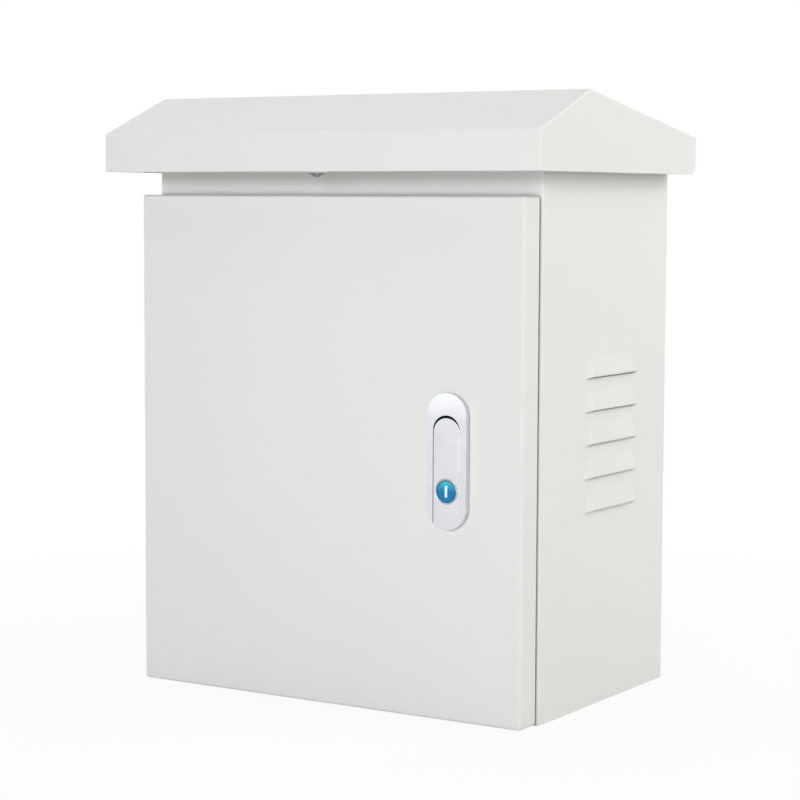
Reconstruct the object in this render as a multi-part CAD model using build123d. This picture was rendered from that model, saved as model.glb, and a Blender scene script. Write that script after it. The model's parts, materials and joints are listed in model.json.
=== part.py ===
from build123d import *
import os

# A wall-mounted outdoor cabinet of folded sheet steel with a pitched rain hood.
# Millimetres. Z is up, the door faces -Y, and the origin is under the middle of the hood.

# Sheet and bends
sheet = 1.2
bend_outside = 2.4
bend_inside = bend_outside - sheet

# Clearances and cuts
running_fit = 0.05
free_gap = 0.3
cut_overrun = 4

# Body shell
body_width = 400
body_depth = 240
body_height = 490
front_flange = 26
gutter_reach = 15.2

# Door
door_side_inset = 1.5
door_bottom = 1
header_height = 43.5
door_depth = 25.5
door_gap = 3.2
door_corner_share = 1.1
gasket_width = 12

# Rain hood
hood_side_reach = 25
hood_front_reach = 50
hood_rear_reach = 6
hood_drop = 23
fascia_height = 34
ridge_rise = 35
ridge_setback = 37.4
hood_bend = 2
hood_lip = 11
hood_corner_cut = 8
tab_width = 22
tab_drop = 4.7
tab_tip_width = 4
tab_hole_radius = 1.4
tab_hole_drop = 1.5

# Ribs between the body and the hood
rib_inset = 50
rib_sheet = 2
rib_foot = 22
rib_front_setback = 14
rib_rear_setback = 12
rib_bolt_setback = 35

# Side louvres
louvre_count = 5
louvre_pitch = 29.45
louvre_lowest = 171.9
louvre_setback = 80
louvre_length = 97
louvre_height = 19.5
louvre_reach = 6
louvre_end_run = 9
louvre_round = 3

# Hinges on the left edge of the door
hinge_edge_inset = 8
hinge_standoff = 16
hinge_leaf_height = 25
hinge_low_share = 0.14
hinge_high_share = 0.74
knuckle_radius = 5
hinge_pin_radius = 2.5
hinge_pin_tail = 3
knuckle_gap = 0.2
hinge_strap = 2.5
hinge_foot = 13
door_leaf_plate = 2
door_leaf_back = 9
notch_reach = 9
notch_margin = 1.5

# Lock on the right edge of the door
lock_edge_inset = 69.8
lock_length = 115.8
lock_brim = 3.75
lock_floor = 1
lock_seal = 0.8
lock_seal_inset = 0.8
lock_edge_round = 1.5
housing_wall = 2.4
housing_low_inset = 12.3
housing_high_inset = 15
housing_depth = 10
handle_cheek = 1.6
handle_thickness = 3.8
handle_edge_round = 0.6
handle_crescent = 2
slot_back_gap = 0.4
slot_arch_inset = 31.8
pivot_depth = 3
pivot_boss_radius = 2.7
pivot_pin_radius = 1.5
pivot_pin_bite = 3.4
pocket_depth = 12
pocket_margin = 1.2

# Key cylinder and latch
key_inset = 32.6
key_radius = 9.75
key_proud = 0.6
key_cap_depth = 5
key_edge_round = 0.8
barrel_wall = 0.65
barrel_hole_gap = 0.75
keyway_width = 3.4
keyway_height = 10
keyway_slot_width = 1
keyway_slot_height = 7
keyway_slot_depth = 3
spindle_radius = 6
square_side = 8
cam_gap = 1
cam_thickness = 3
cam_half = 9
cam_length = 65
cam_washer_radius = 8
cam_washer_thickness = 1.2
cam_screw_radius = 2.5
cam_screw_length = 12
cam_screw_head_radius = 4.5
cam_screw_head_height = 3
bracket_sheet = 2
bracket_height = 24
bracket_foot = 8
barrel_nut_flats = 26
barrel_nut_height = 4

# Mounting plate and its studs
plate_sheet = 2
plate_side_margin = 58
plate_end_margin = 45
plate_rim = 10
plate_standoff = 20
plate_stud_inset = 18
plate_stud_radius = 4
plate_stud_tail = 4
plate_sleeve_radius = 7

# Cable entry in the bottom
entry_width = 190
entry_depth = 80
entry_setback = 70
gland_margin = 20
gland_sheet = 1.5
gland_seal = 2
gland_stud_radius = 2.5
gland_stud_length = 12
grommet_count = 3
grommet_pitch = 58
grommet_hole_radius = 16
grommet_flange = 4
grommet_skirt = 1.8
grommet_cone_height = 12
grommet_tip_radius = 5

# Wall fixing on the back
wall_hole_side_inset = 30
wall_hole_low = 45
wall_hole_top_inset = 35
wall_hole_radius = 4.5
wall_spacer_radius = 11

# Earth studs
earth_stud_radius = 3
earth_stud_length = 18
earth_setback = 60
earth_height = 40
door_earth_inset = 40
door_earth_height = 60

# Hood bolts
hood_bolt_radius = 3
hood_bolt_tail = 4

# Shares of a screw's radius that size its nut and washer
nut_flats_share = 3.25
nut_height_share = 1.6
bolt_head_share = 1.3
washer_share = 2
washer_thickness_share = 0.4

# Planes worked out from the sizes above
half_width = body_width / 2
hood_depth = hood_front_reach + body_depth + hood_rear_reach
hood_front_y = -hood_depth / 2
hood_back_y = hood_depth / 2
front_y = hood_front_y + hood_front_reach
flange_back_y = front_y + sheet
back_y = front_y + body_depth
back_inner_y = back_y - sheet
door_half = half_width - door_side_inset
door_top = body_height - header_height
door_back_y = front_y - door_gap
door_front_y = door_back_y - door_depth
door_inner_y = door_front_y + sheet
opening_half = half_width - front_flange
opening_low = front_flange
opening_high = door_top - front_flange
gutter_y = front_y - gutter_reach

hood_half = half_width + hood_side_reach
hood_low = body_height - hood_drop
eave_z = hood_low + fascia_height
ridge_z = eave_z + ridge_rise
ridge_y = front_y + ridge_setback

hinge_x = -door_half + hinge_edge_inset
hinge_y = front_y - hinge_standoff
hinge_lows = [door_top * share for share in (hinge_low_share, hinge_high_share)]
hinge_names = ["lower", "upper"]

barrel_radius = key_radius + running_fit + barrel_wall
handle_half = barrel_radius + barrel_hole_gap + handle_cheek
slot_half = handle_half + free_gap
slot_depth = handle_thickness + slot_back_gap
housing_radius = slot_half + housing_wall
lock_radius = housing_radius + lock_brim
lock_proud = slot_depth + lock_floor + lock_seal

lock_x = door_half - lock_edge_inset
lock_y = door_front_y - lock_proud
lock_back_y = door_front_y - lock_seal
lock_low = (door_bottom + door_top - lock_length) / 2
lock_high = lock_low + lock_length
housing_low = lock_low + housing_low_inset
housing_high = lock_high - housing_high_inset
housing_back_y = door_front_y + housing_depth
slot_arch = lock_high - slot_arch_inset
handle_arch = slot_arch - handle_crescent
pivot_height = slot_arch
pivot_y = lock_y + pivot_depth
key_height = lock_low + key_inset
cam_front_y = flange_back_y + cam_gap
cam_back_y = cam_front_y + cam_thickness
bracket_back_y = housing_back_y + bracket_sheet
spindle_back_y = cam_back_y - free_gap

plate_back_y = back_inner_y - plate_standoff
plate_front_y = plate_back_y - plate_sheet
plate_half = half_width - plate_side_margin
plate_high = body_height - plate_end_margin

gland_y = front_y + entry_setback + entry_depth / 2
gland_low = sheet + gland_seal
gland_top = gland_low + gland_sheet


# Basic solids between planes

def box(x0, x1, y0, y1, z0, z1):
    middle = Pos((x0 + x1) / 2, (y0 + y1) / 2, (z0 + z1) / 2)
    return middle * Box(x1 - x0, y1 - y0, z1 - z0)


def rod_x(radius, y, z, x0, x1):
    return Pos((x0 + x1) / 2, y, z) * Rot(Y=90) * Cylinder(radius, x1 - x0)


def rod_y(radius, x, z, y0, y1):
    return Pos(x, (y0 + y1) / 2, z) * Rot(X=90) * Cylinder(radius, y1 - y0)


def rod_z(radius, x, y, z0, z1):
    return Pos(x, y, (z0 + z1) / 2) * Cylinder(radius, z1 - z0)


def prism_x(points, x0, x1):
    face = make_face(Polyline([(x0, y, z) for y, z in points], close=True))
    return extrude(face, amount=x1 - x0, dir=(1, 0, 0))


def prism_y(points, y0, y1):
    face = make_face(Polyline([(x, y0, z) for x, z in points], close=True))
    return extrude(face, amount=y1 - y0, dir=(0, 1, 0))


def pill_y(radius, x, z0, z1, y0, y1):
    middle = box(x - radius, x + radius, y0, y1, z0 + radius, z1 - radius)
    return middle + rod_y(radius, x, z0 + radius, y0, y1) + rod_y(radius, x, z1 - radius, y0, y1)


def arch_y(half, x, z0, z1, y0, y1):
    return box(x - half, x + half, y0, y1, z0, z1) + rod_y(half, x, z1, y0, y1)


def mirror_pair(solid):
    return [solid, mirror(solid, about=Plane.YZ)]


# Fasteners, each along one axis from its seat

def hexagon(radius):
    return RegularPolygon(radius * nut_flats_share / 2, 6, major_radius=False)


def nut_z(radius, x, y, z):
    height = radius * nut_height_share
    body = extrude(Pos(x, y, z) * hexagon(radius), amount=height, dir=(0, 0, 1))
    return body - rod_z(radius + running_fit, x, y, z - cut_overrun, z + height + cut_overrun)


def nut_y(radius, x, y, z):
    return Pos(x, y, z) * Rot(X=90) * nut_z(radius, 0, 0, 0)


def nut_x(radius, x, y, z):
    return Pos(x, y, z) * Rot(Y=-90) * nut_z(radius, 0, 0, 0)


def washer_z(radius, x, y, z):
    height = radius * washer_thickness_share
    ring = rod_z(radius * washer_share, x, y, z, z + height)
    return ring - rod_z(radius + running_fit, x, y, z - cut_overrun, z + height + cut_overrun)


def washer_y(radius, x, y, z):
    return Pos(x, y, z) * Rot(X=90) * washer_z(radius, 0, 0, 0)


def washer_x(radius, x, y, z):
    return Pos(x, y, z) * Rot(Y=-90) * washer_z(radius, 0, 0, 0)


# Places of the repeated fasteners

def wall_holes():
    x = half_width - wall_hole_side_inset
    heights = (wall_hole_low, body_height - wall_hole_top_inset)
    return [(side * x, z) for side in (-1, 1) for z in heights]


def plate_stud_places():
    x = plate_half - plate_stud_inset
    heights = (plate_end_margin + plate_stud_inset, plate_high - plate_stud_inset)
    return [(side * x, z) for side in (-1, 1) for z in heights]


def hood_bolt_places():
    x = half_width - rib_inset - rib_sheet - (rib_foot - rib_sheet) / 2
    depths = (front_y + rib_bolt_setback, back_y - rib_bolt_setback)
    return [(side * x, y) for side in (-1, 1) for y in depths]


def gland_stud_places():
    x = entry_width / 2 + gland_margin / 2
    depth = entry_depth / 2 + gland_margin / 2
    return [(side * x, gland_y + end * depth) for side in (-1, 1) for end in (-1, 1)]


def grommet_places():
    first = -grommet_pitch * (grommet_count - 1) / 2
    return [first + grommet_pitch * step for step in range(grommet_count)]


# Body shell

def louvre_form(lip_z):
    y0 = front_y + louvre_setback
    y1 = y0 + louvre_length
    top_z = lip_z + louvre_height
    out_x = half_width + louvre_reach
    form = prism_y([(half_width, top_z), (out_x, lip_z), (half_width, lip_z)], y0, y1)
    # The ends slope in towards the lip and towards the top edge.
    inwards = louvre_end_run * louvre_height
    along = louvre_reach * louvre_height
    down = louvre_end_run * louvre_reach
    front_end = Plane(origin=(half_width, y0, lip_z), z_dir=(-inwards, along, -down))
    rear_end = Plane(origin=(half_width, y1, lip_z), z_dir=(-inwards, -along, -down))
    form = split(form, bisect_by=front_end, keep=Keep.TOP)
    form = split(form, bisect_by=rear_end, keep=Keep.TOP)
    slope_edges = [edge for edge in form.edges()
                   if abs(edge.center().X - (half_width + out_x) / 2) < louvre_reach / 4
                   and abs(edge.center().Z - (lip_z + top_z) / 2) < louvre_height / 4]
    return fillet(slope_edges, louvre_round)


def body_wrap():
    outer = box(-half_width, half_width, front_y, back_y, 0, body_height)
    outer = fillet(outer.edges().filter_by(Axis.Z), bend_outside)
    inner = box(-half_width + sheet, half_width - sheet, flange_back_y, back_inner_y,
                -cut_overrun, body_height + cut_overrun)
    inner = fillet(inner.edges().filter_by(Axis.Z), bend_inside)
    wrap = outer - inner
    wrap -= box(-opening_half, opening_half, front_y - cut_overrun, flange_back_y + cut_overrun,
                -cut_overrun, body_height + cut_overrun)
    lip = box(opening_half, opening_half + sheet, gutter_y, front_y,
              opening_low - sheet, opening_high + sheet)
    wrap += mirror_pair(lip)
    for step in range(louvre_count):
        form = louvre_form(louvre_lowest + louvre_pitch * step)
        wrap += mirror_pair(form)
        wrap -= mirror_pair(Pos(-sheet, 0, 0) * form)
    for x, z in wall_holes():
        wrap -= rod_y(wall_hole_radius, x, z, back_inner_y - cut_overrun, back_y + cut_overrun)
    return wrap


def end_plate(z0):
    plate = box(-half_width + sheet, half_width - sheet, flange_back_y, back_inner_y, z0, z0 + sheet)
    return fillet(plate.edges().filter_by(Axis.Z), bend_inside)


def top_panel():
    panel = end_plate(body_height - sheet)
    panel += box(-opening_half, opening_half, front_y, flange_back_y, opening_high, body_height)
    panel += box(-opening_half, opening_half, gutter_y, front_y, opening_high, opening_high + sheet)
    for x, y in hood_bolt_places():
        panel -= rod_z(hood_bolt_radius + running_fit, x, y, body_height - sheet - cut_overrun,
                       body_height + cut_overrun)
    return panel


def bottom_panel():
    panel = end_plate(0)
    panel += box(-opening_half, opening_half, front_y, flange_back_y, 0, opening_low)
    panel += box(-opening_half, opening_half, gutter_y, front_y, opening_low - sheet, opening_low)
    panel -= box(-entry_width / 2, entry_width / 2, gland_y - entry_depth / 2, gland_y + entry_depth / 2,
                 -cut_overrun, sheet + cut_overrun)
    return panel


def wall_spacers():
    rings = []
    for x, z in wall_holes():
        ring = rod_y(wall_spacer_radius, x, z, back_y, hood_back_y)
        rings.append(ring - rod_y(wall_hole_radius, x, z, back_y - cut_overrun, hood_back_y + cut_overrun))
    return rings


# Rain hood and its ribs

def gable_points(inset, low):
    # The gable's outline, moved inwards by the given inset and closed at the given level.
    front_run = ridge_y - hood_front_y
    back_run = hood_back_y - ridge_y
    front_slant = (front_run ** 2 + ridge_rise ** 2) ** 0.5
    back_slant = (back_run ** 2 + ridge_rise ** 2) ** 0.5
    front_drop = inset * front_slant / front_run
    back_drop = inset * back_slant / back_run
    front_pitch = ridge_rise / front_run
    back_pitch = ridge_rise / back_run
    shift = (back_drop - front_drop) / (front_pitch + back_pitch)
    return [(hood_front_y + inset, low),
            (hood_front_y + inset, eave_z + inset * front_pitch - front_drop),
            (ridge_y + shift, ridge_z + shift * front_pitch - front_drop),
            (hood_back_y - inset, eave_z + inset * back_pitch - back_drop),
            (hood_back_y - inset, low)]


def rain_hood():
    outer = prism_x(gable_points(0, hood_low), -hood_half, hood_half)
    folds = outer.edges().filter_by(lambda edge: edge.center().Z > hood_low + hood_bend)
    outer = fillet(folds, hood_bend)
    inner_half = hood_half - sheet
    hood = outer - prism_x(gable_points(sheet, hood_low - cut_overrun), -inner_half, inner_half)
    lip_top = hood_low + sheet
    hood += box(-hood_half, hood_half, hood_front_y, hood_front_y + hood_lip, hood_low, lip_top)
    hood += mirror_pair(box(hood_half - hood_lip, hood_half, hood_front_y, hood_back_y, hood_low, lip_top))
    # The rear lower corner is cut off across, and the rear fascia ends above it.
    corner = [(hood_back_y - hood_corner_cut, hood_low - cut_overrun),
              (hood_back_y - hood_corner_cut, hood_low),
              (hood_back_y, hood_low + hood_corner_cut),
              (hood_back_y + cut_overrun, hood_low + hood_corner_cut),
              (hood_back_y + cut_overrun, hood_low - cut_overrun)]
    hood -= prism_x(corner, -hood_half - cut_overrun, hood_half + cut_overrun)
    tab_y = hood_front_y + hood_lip
    tab = prism_y([(-tab_width / 2, hood_low), (-tab_width / 2, lip_top), (tab_width / 2, lip_top),
                   (tab_width / 2, hood_low), (tab_tip_width / 2, hood_low - tab_drop),
                   (-tab_tip_width / 2, hood_low - tab_drop)], tab_y - sheet, tab_y)
    tab -= rod_y(tab_hole_radius, 0, hood_low - tab_hole_drop,
                 tab_y - sheet - cut_overrun, tab_y + cut_overrun)
    return hood + tab


def hood_rib():
    # Right-hand rib: a web up to the slopes and a foot turned towards the middle.
    web_x = half_width - rib_inset
    roof = gable_points(sheet, body_height)
    y0 = front_y + rib_front_setback
    y1 = back_y - rib_rear_setback
    rib = box(web_x - rib_sheet, web_x, y0, y1, body_height, ridge_z)
    rib &= prism_x(roof, web_x - rib_sheet, web_x)
    rib += box(web_x - rib_foot, web_x, y0, y1, body_height, body_height + rib_sheet)
    for x, y in hood_bolt_places():
        if x > 0:
            rib -= rod_z(hood_bolt_radius + running_fit, x, y, body_height - cut_overrun,
                         body_height + rib_sheet + cut_overrun)
    return rib


def hood_bolts():
    bolts = []
    for x, y in hood_bolt_places():
        seat = body_height - sheet - hood_bolt_radius * washer_thickness_share
        head = hood_bolt_radius * bolt_head_share
        tip = body_height + rib_sheet + hood_bolt_radius * nut_height_share + hood_bolt_tail
        bolt = extrude(Pos(x, y, seat - head) * hexagon(hood_bolt_radius), amount=head, dir=(0, 0, 1))
        bolts.append(bolt + rod_z(hood_bolt_radius, x, y, seat, tip))
    return bolts


def hood_washers():
    seat = body_height - sheet - hood_bolt_radius * washer_thickness_share
    return [washer_z(hood_bolt_radius, x, y, seat) for x, y in hood_bolt_places()]


def hood_nuts():
    return [nut_z(hood_bolt_radius, x, y, body_height + rib_sheet) for x, y in hood_bolt_places()]


# Door and hinges

def hinge_knuckle(z0):
    ring = rod_z(knuckle_radius, hinge_x, hinge_y, z0, z0 + hinge_leaf_height)
    bore = rod_z(hinge_pin_radius + running_fit, hinge_x, hinge_y, z0 - cut_overrun,
                 z0 + hinge_leaf_height + cut_overrun)
    return ring, bore


def hinge_body_leaf(z0):
    knuckle, bore = hinge_knuckle(z0)
    z1 = z0 + hinge_leaf_height
    strap_x = hinge_x - hinge_strap
    leaf = knuckle + box(strap_x, hinge_x, hinge_y, front_y, z0, z1)
    leaf += box(strap_x, strap_x + hinge_foot, front_y - hinge_strap, front_y, z0, z1)
    return leaf - bore


def hinge_door_leaf(z0):
    low = z0 + hinge_leaf_height + knuckle_gap
    high = low + hinge_leaf_height
    knuckle, bore = hinge_knuckle(low)
    seat_x = -door_half + sheet
    wing_y = hinge_y - knuckle_radius
    leaf = knuckle + box(seat_x, hinge_x, wing_y, wing_y + hinge_strap, low, high)
    leaf += box(seat_x, seat_x + door_leaf_plate, door_inner_y + bend_outside, hinge_y + door_leaf_back,
                low, high)
    return leaf - bore


def hinge_pin(z0):
    top = z0 + 2 * hinge_leaf_height + knuckle_gap
    pin = rod_z(hinge_pin_radius, hinge_x, hinge_y, z0 - hinge_pin_tail, top)
    head = rod_z(knuckle_radius, hinge_x, hinge_y, z0 - hinge_pin_tail, z0)
    return pin + head


def door_panel():
    outer = box(-door_half, door_half, door_front_y, door_back_y, door_bottom, door_top)
    outer = fillet(outer.edges().filter_by(Axis.Y), bend_outside * door_corner_share)
    outer = fillet(outer.faces().sort_by(Axis.Y)[0].edges(), bend_outside)
    inner = box(-door_half + sheet, door_half - sheet, door_inner_y, door_back_y + cut_overrun,
                door_bottom + sheet, door_top - sheet)
    inner = fillet(inner.edges().filter_by(Axis.Y), bend_inside * door_corner_share)
    inner = fillet(inner.faces().sort_by(Axis.Y)[0].edges(), bend_inside)
    door = outer - inner
    # The left return is cut away where it swings past each hinge strap.
    for z0 in hinge_lows:
        door -= box(-door_half - cut_overrun, -door_half + sheet + cut_overrun, hinge_y - notch_reach,
                    door_back_y + cut_overrun, z0 - notch_margin - hinge_pin_tail,
                    z0 + hinge_leaf_height + notch_margin)
    door -= pill_y(housing_radius + free_gap, lock_x, housing_low - free_gap, housing_high + free_gap,
                   door_front_y - cut_overrun, door_inner_y + cut_overrun)
    return door


def door_gasket():
    middle = sheet / 2
    y0 = door_inner_y
    y1 = gutter_y - free_gap
    reach = gasket_width / 2
    outer = box(-opening_half - middle - reach, opening_half + middle + reach, y0, y1,
                opening_low - middle - reach, opening_high + middle + reach)
    inner = box(-opening_half - middle + reach, opening_half + middle - reach,
                y0 - cut_overrun, y1 + cut_overrun,
                opening_low - middle + reach, opening_high + middle - reach)
    outer = fillet(outer.edges().filter_by(Axis.Y), reach)
    return outer - inner


# Lock

def lock_seal_pad():
    inset = lock_seal_inset
    pad = pill_y(lock_radius - inset, lock_x, lock_low + inset, lock_high - inset, lock_back_y, door_front_y)
    return pad - pill_y(housing_radius + free_gap, lock_x, housing_low - free_gap, housing_high + free_gap,
                        lock_back_y - cut_overrun, door_front_y + cut_overrun)


def lock_base():
    flange = pill_y(lock_radius, lock_x, lock_low, lock_high, lock_y, lock_back_y)
    flange = fillet(flange.faces().sort_by(Axis.Y)[0].edges(), lock_edge_round)
    base = flange + pill_y(housing_radius, lock_x, housing_low, housing_high, lock_back_y, housing_back_y)
    base -= arch_y(slot_half, lock_x, lock_low - cut_overrun, slot_arch,
                   lock_y - cut_overrun, lock_y + slot_depth)
    base -= arch_y(slot_half, lock_x, pivot_height - pivot_boss_radius - pocket_margin, slot_arch,
                   lock_y, lock_y + pocket_depth)
    base -= rod_y(barrel_radius + running_fit, lock_x, key_height, lock_y, housing_back_y + cut_overrun)
    pin_half = slot_half + pivot_pin_bite
    base -= rod_x(pivot_pin_radius + running_fit, pivot_y, pivot_height,
                  lock_x - pin_half, lock_x + pin_half)
    return base


def lock_handle():
    bar = arch_y(handle_half, lock_x, lock_low - cut_overrun, handle_arch, lock_y, lock_y + handle_thickness)
    bar &= pill_y(lock_radius, lock_x, lock_low, lock_high, lock_y, lock_y + handle_thickness)
    bar = fillet(bar.faces().sort_by(Axis.Y)[0].edges(), handle_edge_round)
    bar += rod_x(pivot_boss_radius, pivot_y, pivot_height, lock_x - handle_half, lock_x + handle_half)
    bar -= rod_x(pivot_pin_radius + running_fit, pivot_y, pivot_height,
                 lock_x - lock_radius, lock_x + lock_radius)
    return bar - rod_y(barrel_radius + barrel_hole_gap, lock_x, key_height, lock_y - cut_overrun,
                       lock_y + handle_thickness + cut_overrun)


def handle_pin():
    pin_half = slot_half + pivot_pin_bite
    return rod_x(pivot_pin_radius, pivot_y, pivot_height, lock_x - pin_half, lock_x + pin_half)


def lock_barrel():
    end_y = cam_front_y - free_gap
    barrel = rod_y(barrel_radius, lock_x, key_height, lock_y, end_y)
    barrel -= rod_y(key_radius + running_fit, lock_x, key_height, lock_y - cut_overrun,
                    lock_y + key_cap_depth + running_fit)
    return barrel - rod_y(spindle_radius + running_fit, lock_x, key_height, lock_y, end_y + cut_overrun)


def lock_bracket():
    # A bridge over the housing, with two feet turned out on the inside of the door.
    half = housing_radius + free_gap
    z0 = key_height - bracket_height / 2
    z1 = key_height + bracket_height / 2
    leg = half + bracket_sheet
    bracket = box(lock_x - leg, lock_x + leg, door_inner_y, bracket_back_y, z0, z1)
    bracket += box(lock_x - half - bracket_foot, lock_x + half + bracket_foot, door_inner_y,
                   door_inner_y + bracket_sheet, z0, z1)
    bracket -= box(lock_x - half, lock_x + half, door_inner_y - cut_overrun, housing_back_y,
                   z0 - cut_overrun, z1 + cut_overrun)
    return bracket - rod_y(barrel_radius + running_fit, lock_x, key_height, housing_back_y - cut_overrun,
                           bracket_back_y + cut_overrun)


def barrel_nut():
    outline = RegularPolygon(barrel_nut_flats / 2, 6, major_radius=False)
    nut = extrude(outline, amount=barrel_nut_height, dir=(0, 0, 1))
    nut -= rod_z(barrel_radius + running_fit, 0, 0, -cut_overrun, barrel_nut_height + cut_overrun)
    return Pos(lock_x, bracket_back_y, key_height) * Rot(X=-90) * nut


def keyway_block(width, height, y0, y1):
    return box(lock_x - width / 2, lock_x + width / 2, y0, y1,
               key_height - height / 2, key_height + height / 2)


def key_cap():
    cap = rod_y(key_radius, lock_x, key_height, lock_y - key_proud, lock_y + key_cap_depth)
    cap = fillet(cap.faces().sort_by(Axis.Y)[0].edges(), key_edge_round)
    return cap - keyway_block(keyway_width, keyway_height, lock_y - key_proud - cut_overrun,
                              lock_y + key_cap_depth + cut_overrun)


def keyway():
    insert = keyway_block(keyway_width, keyway_height, lock_y - key_proud / 2, lock_y + key_cap_depth)
    return insert - keyway_block(keyway_slot_width, keyway_slot_height, lock_y - key_proud - cut_overrun,
                                 lock_y + keyway_slot_depth)


def key_spindle():
    spindle = rod_y(spindle_radius, lock_x, key_height, lock_y + key_cap_depth, cam_front_y)
    half = square_side / 2
    spindle += box(lock_x - half, lock_x + half, cam_front_y, spindle_back_y,
                   key_height - half, key_height + half)
    return spindle - rod_y(cam_screw_radius + running_fit, lock_x, key_height,
                           spindle_back_y - cam_screw_length, spindle_back_y + cut_overrun)


def latch_cam():
    cam = pill_y(cam_half, lock_x, key_height - cam_length, key_height + cam_half, cam_front_y, cam_back_y)
    half = square_side / 2 + running_fit
    return cam - box(lock_x - half, lock_x + half, cam_front_y - cut_overrun, cam_back_y + cut_overrun,
                     key_height - half, key_height + half)


def cam_washer():
    end_y = cam_back_y + cam_washer_thickness
    washer = rod_y(cam_washer_radius, lock_x, key_height, cam_back_y, end_y)
    return washer - rod_y(cam_screw_radius + running_fit, lock_x, key_height, cam_back_y - cut_overrun,
                          end_y + cut_overrun)


def cam_screw():
    seat_y = cam_back_y + cam_washer_thickness
    head = rod_y(cam_screw_head_radius, lock_x, key_height, seat_y, seat_y + cam_screw_head_height)
    tip_y = spindle_back_y - cam_screw_length + free_gap
    return head + rod_y(cam_screw_radius, lock_x, key_height, tip_y, seat_y)


# Mounting plate inside the back

def mounting_plate():
    z0 = plate_end_margin
    plate = box(-plate_half, plate_half, plate_front_y, plate_back_y, z0, plate_high)
    rim = box(plate_half - plate_sheet, plate_half, plate_front_y, plate_front_y + plate_rim, z0, plate_high)
    plate += mirror_pair(rim)
    for x, z in plate_stud_places():
        plate -= rod_y(plate_stud_radius + running_fit, x, z,
                       plate_front_y - cut_overrun, plate_back_y + cut_overrun)
    return plate


def plate_studs():
    nut_y0 = plate_front_y - plate_stud_radius * (washer_thickness_share + nut_height_share)
    return [rod_y(plate_stud_radius, x, z, nut_y0 - plate_stud_tail, back_inner_y)
            for x, z in plate_stud_places()]


def plate_sleeves():
    sleeves = []
    for x, z in plate_stud_places():
        sleeve = rod_y(plate_sleeve_radius, x, z, plate_back_y, back_inner_y)
        sleeves.append(sleeve - rod_y(plate_stud_radius + running_fit, x, z, plate_back_y - cut_overrun,
                                      back_inner_y + cut_overrun))
    return sleeves


def plate_washers():
    return [washer_y(plate_stud_radius, x, plate_front_y, z) for x, z in plate_stud_places()]


def plate_nuts():
    seat_y = plate_front_y - plate_stud_radius * washer_thickness_share
    return [nut_y(plate_stud_radius, x, seat_y, z) for x, z in plate_stud_places()]


# Cable entry in the bottom

def gland_outline(margin, z0, z1):
    x = entry_width / 2 + margin
    depth = entry_depth / 2 + margin
    return box(-x, x, gland_y - depth, gland_y + depth, z0, z1)


def gland_holes(plate, z0, z1):
    for x, y in gland_stud_places():
        plate -= rod_z(gland_stud_radius + running_fit, x, y, z0 - cut_overrun, z1 + cut_overrun)
    return plate


def gland_gasket():
    ring = gland_outline(gland_margin, sheet, gland_low)
    ring -= gland_outline(0, sheet - cut_overrun, gland_low + cut_overrun)
    return gland_holes(ring, sheet, gland_low)


def gland_plate():
    plate = gland_outline(gland_margin, gland_low, gland_top)
    for x in grommet_places():
        plate -= rod_z(grommet_hole_radius + running_fit, x, gland_y,
                       gland_low - cut_overrun, gland_top + cut_overrun)
    return gland_holes(plate, gland_low, gland_top)


def gland_studs():
    return [rod_z(gland_stud_radius, x, y, sheet, sheet + gland_stud_length) for x, y in gland_stud_places()]


def gland_nuts():
    return [nut_z(gland_stud_radius, x, y, gland_top) for x, y in gland_stud_places()]


def cable_grommet(x):
    # A rubber cup with a closed cone, held in the plate by a groove.
    wide = grommet_hole_radius + grommet_flange
    neck = grommet_hole_radius
    low = gland_low - grommet_skirt
    brim = gland_top + grommet_skirt
    grommet = rod_z(wide, x, gland_y, low, gland_low)
    grommet += rod_z(neck, x, gland_y, gland_low, gland_top)
    grommet += rod_z(wide, x, gland_y, gland_top, brim)
    cone = Cone(neck, grommet_tip_radius, grommet_cone_height)
    grommet += Pos(x, gland_y, brim + grommet_cone_height / 2) * cone
    hollow_height = grommet_cone_height + brim - low - grommet_skirt
    hollow = Cone(neck - grommet_skirt, grommet_tip_radius - grommet_skirt, hollow_height)
    return grommet - Pos(x, gland_y, low + hollow_height / 2) * hollow


# Earth studs

def earth_stud():
    wall_x = half_width - sheet
    return rod_x(earth_stud_radius, front_y + earth_setback, earth_height,
                 wall_x - earth_stud_length, wall_x)


def earth_washer():
    return washer_x(earth_stud_radius, half_width - sheet, front_y + earth_setback, earth_height)


def earth_nut():
    seat_x = half_width - sheet - earth_stud_radius * washer_thickness_share
    return nut_x(earth_stud_radius, seat_x, front_y + earth_setback, earth_height)


def door_earth_place():
    return opening_half - door_earth_inset, door_earth_height


def door_earth_stud():
    x, z = door_earth_place()
    return rod_y(earth_stud_radius, x, z, door_inner_y, door_inner_y + earth_stud_length)


def door_earth_washer():
    x, z = door_earth_place()
    seat_y = door_inner_y + earth_stud_radius * washer_thickness_share
    return washer_y(earth_stud_radius, x, seat_y, z)


def door_earth_nut():
    x, z = door_earth_place()
    thickness = earth_stud_radius * (washer_thickness_share + nut_height_share)
    return nut_y(earth_stud_radius, x, door_inner_y + thickness, z)


def save(name, shape):
    solids = shape if isinstance(shape, list) else [shape]
    pieces = [solid for piece in solids for solid in piece.solids()]
    whole = pieces[0] if len(pieces) == 1 else Compound(children=pieces)
    export_step(whole, os.path.join("parts", name + ".step"))


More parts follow.
